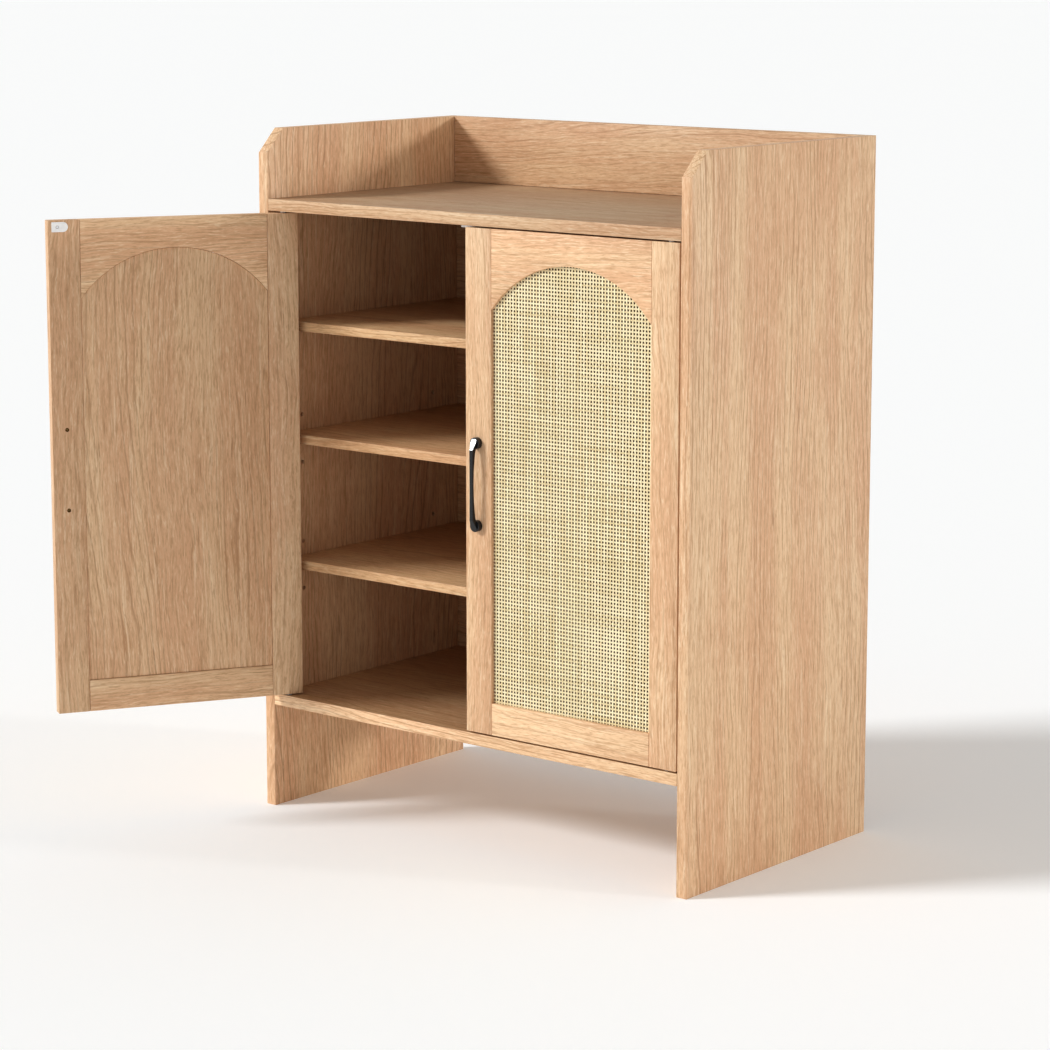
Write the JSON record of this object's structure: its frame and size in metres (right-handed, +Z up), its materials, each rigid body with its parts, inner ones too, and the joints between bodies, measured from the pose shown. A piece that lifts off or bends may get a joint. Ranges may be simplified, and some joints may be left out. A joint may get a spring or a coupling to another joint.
{
  "type": "shoe cabinet",
  "caption": "Oak-look shoe cabinet: tray top, open foot space, shelved compartments behind pivot-hung doors with arched cane panels and bow handles.",
  "frame": {"origin": "on the floor, under the middle of the space that the object takes as it stands, with the left door open 120 degrees", "axes": "+X to the right seen from the front, +Y from the doors towards the back, +Z up"},
  "size_m": [0.8076, 0.6396, 0.88],
  "materials": {
    "oak_board": "natural oak-look foil on board, matt, grain upright on the sides",
    "oak_shelf": "natural oak-look foil on board, matt, grain across the width",
    "oak_frame": "natural oak-look door frame, matt, grain along each member",
    "oak_sheet": "natural oak-look panel, matt, grain upright",
    "rattan": "cream woven cane webbing with small square openings",
    "black_metal": "gloss black",
    "steel": "yellow-passivated steel",
    "white_plastic": "smooth white plastic",
    "beech": "plain beech dowel"
  },
  "bodies": {
    "carcass": {"side_panel_left": "oak_board", "side_panel_right": "oak_board", "bottom_board": "oak_shelf", "top_board": "oak_shelf", "back_rail": "oak_board", "back_panel": "oak_sheet", "shelf_upper": "oak_shelf", "shelf_middle": "oak_shelf", "shelf_lower": "oak_shelf", "dowel_top_left_front": "beech", "dowel_bottom_left_front": "beech", "shelf_pin_upper_left_front": "steel", "shelf_pin_middle_left_front": "steel", "shelf_pin_lower_left_front": "steel", "dowel_top_left_back": "beech", "dowel_bottom_left_back": "beech", "shelf_pin_upper_left_back": "steel", "shelf_pin_middle_left_back": "steel", "shelf_pin_lower_left_back": "steel", "dowel_top_right_front": "beech", "dowel_bottom_right_front": "beech", "shelf_pin_upper_right_front": "steel", "shelf_pin_middle_right_front": "steel", "shelf_pin_lower_right_front": "steel", "dowel_top_right_back": "beech", "dowel_bottom_right_back": "beech", "shelf_pin_upper_right_back": "steel", "shelf_pin_middle_right_back": "steel", "shelf_pin_lower_right_back": "steel", "pivot_bush_top_left": "white_plastic", "pivot_bush_bottom_left": "white_plastic", "pivot_bush_top_right": "white_plastic", "pivot_bush_bottom_right": "white_plastic", "door_catch": "white_plastic"},
    "door_left": {"door_left_hinge_stile": "oak_frame", "door_left_lock_stile": "oak_frame", "door_left_bottom_rail": "oak_frame", "door_left_top_rail": "oak_frame", "door_left_rear_panel": "oak_sheet", "door_left_cane_webbing": "rattan", "door_left_handle": "black_metal", "door_left_handle_screw_upper": "steel", "door_left_handle_screw_lower": "steel", "door_left_strike_plate": "white_plastic", "door_left_strike_screw": "steel", "door_left_pivot_pin_top": "white_plastic", "door_left_pivot_pin_bottom": "white_plastic"},
    "door_right": {"door_right_hinge_stile": "oak_frame", "door_right_lock_stile": "oak_frame", "door_right_bottom_rail": "oak_frame", "door_right_top_rail": "oak_frame", "door_right_rear_panel": "oak_sheet", "door_right_cane_webbing": "rattan", "door_right_handle": "black_metal", "door_right_handle_screw_upper": "steel", "door_right_handle_screw_lower": "steel", "door_right_strike_plate": "white_plastic", "door_right_strike_screw": "steel", "door_right_pivot_pin_top": "white_plastic", "door_right_pivot_pin_bottom": "white_plastic"}
  },
  "joints": [
    {"name": "door_left_hinge", "type": "hinge", "parent": "carcass", "child": "door_left", "pos_m": [-0.24216, -0.05274, 0.4635], "axis": [0, 0, 1], "range_deg": [-10, 120]},
    {"name": "door_right_hinge", "type": "hinge", "parent": "carcass", "child": "door_right", "pos_m": [0.36984, -0.05274, 0.4635], "axis": [0, 0, 1], "range_deg": [0, 130]}
  ]
}
